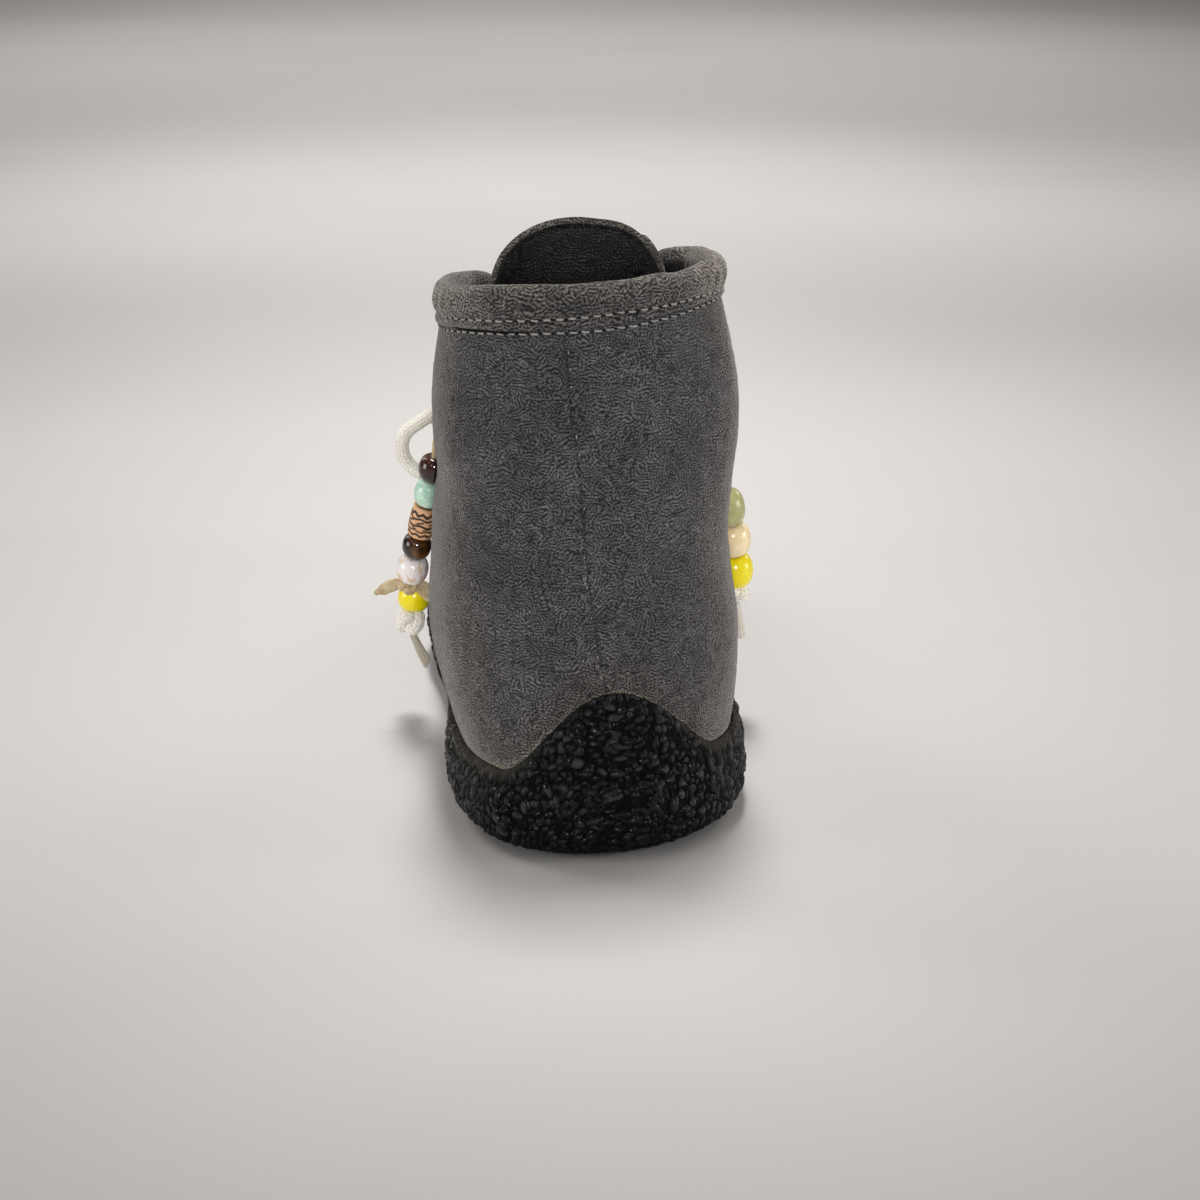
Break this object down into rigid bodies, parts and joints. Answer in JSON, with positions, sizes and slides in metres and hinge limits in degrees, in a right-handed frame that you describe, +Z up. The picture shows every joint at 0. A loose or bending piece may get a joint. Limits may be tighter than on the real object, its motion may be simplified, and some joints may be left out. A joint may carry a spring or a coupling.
{
  "type": "moc-toe boot",
  "caption": "Left ankle boot of grey suede with a padded collar, free tongue and a crepe rubber cup sole that climbs the heel; the laces end in beads.",
  "frame": {"origin": "on the ground under the middle of the heel", "axes": "+Y from heel to toe, +X to the medial side, +Z up"},
  "size_m": [0.1164, 0.2895, 0.161],
  "materials": {
    "bead_brown": "gloss, dark brown, glassy",
    "bead_cream": "gloss cream",
    "bead_mint": "gloss mint green",
    "bead_olive": "gloss olive green",
    "bead_pearl": "pearly with gold smears",
    "bead_wood": "carved and burnt bands, satin",
    "bead_yellow": "gloss yellow",
    "crepe_rubber": "black crepe rubber, lumpy and half gloss",
    "insole_felt": "dark felt",
    "lace_cord": "round braided off-white cord",
    "suede": "matt grey suede with a fine nap",
    "thong_leather": "tan split leather"
  },
  "bodies": {
    "root": {"bead_brown": "bead_brown", "bead_carved": "bead_wood", "bead_cream": "bead_cream", "bead_mint": "bead_mint", "bead_olive": "bead_olive", "bead_pearl": "bead_pearl", "bead_tiger": "bead_brown", "bead_yellow_left": "bead_yellow", "bead_yellow_right": "bead_yellow", "collar_roll": "suede", "insole": "insole_felt", "lace_bar": "lace_cord", "lace_cross_lower": "lace_cord", "lace_cross_upper": "lace_cord", "lace_end_left": "lace_cord", "lace_end_right": "lace_cord", "lace_knot": "lace_cord", "lace_loop_left": "lace_cord", "lace_loop_right": "lace_cord", "lace_stopper_left": "lace_cord", "lace_stopper_right": "lace_cord", "outsole": "crepe_rubber", "thong": "thong_leather", "thong_knot": "thong_leather", "thong_tab": "thong_leather", "thong_tail": "thong_leather", "tongue": "suede", "upper": "suede"}
  },
  "joints": []
}
